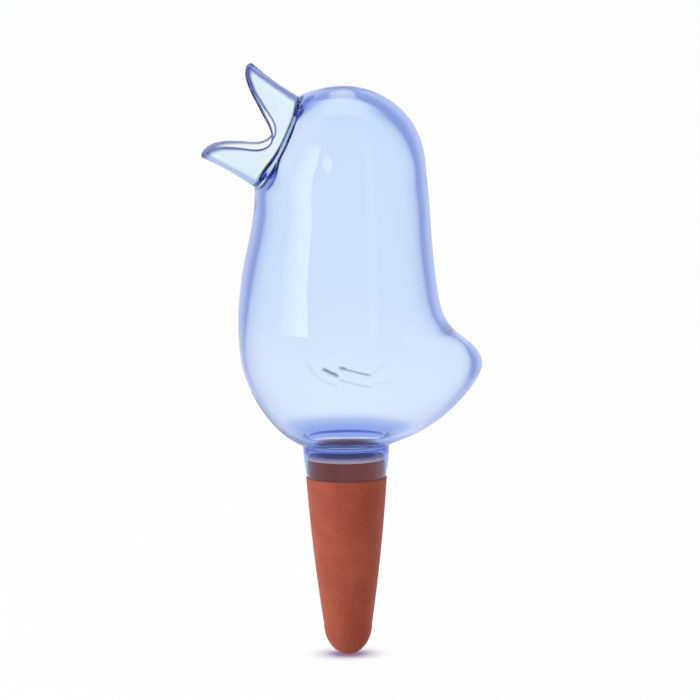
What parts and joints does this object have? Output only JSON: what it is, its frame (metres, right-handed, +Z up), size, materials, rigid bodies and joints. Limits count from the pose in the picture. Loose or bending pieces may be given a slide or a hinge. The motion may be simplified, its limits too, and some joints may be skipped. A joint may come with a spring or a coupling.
{
  "type": "watering globe",
  "caption": "Clear hollow bird, filled through its open beak, on a porous clay spike that feeds water to the soil of a plant pot.",
  "frame": {"origin": "on the spike's axis at the soil line, where the neck's lip rests on the clay shoulder", "axes": "+Z up along the spike's axis, -X the way the beak points, +X to the tail, the bird alike on both sides of Y = 0"},
  "size_m": [0.0932, 0.0688, 0.1999],
  "materials": {
    "terracotta": "unglazed, porous, matt",
    "soft_seal": "soft, milky, satin",
    "tinted_plastic": "clear, tinted pale blue, polished",
    "clear_plastic": "clear, tinted paler blue, polished"
  },
  "bodies": {
    "spike": {"terracotta_spike": "terracotta"},
    "seal": {"neck_seal": "soft_seal"},
    "bird": {"bird_reservoir": "tinted_plastic", "filling_beak": "clear_plastic"}
  },
  "joints": [
    {"name": "turn", "type": "hinge", "parent": "spike", "child": "seal", "pos_m": [0, 0, 0.0062], "axis": [0, 0, 1], "continuous": true},
    {"name": "lift", "type": "slide", "parent": "seal", "child": "bird", "axis": [0, 0, 1], "range_m": [0, 0.03]}
  ]
}
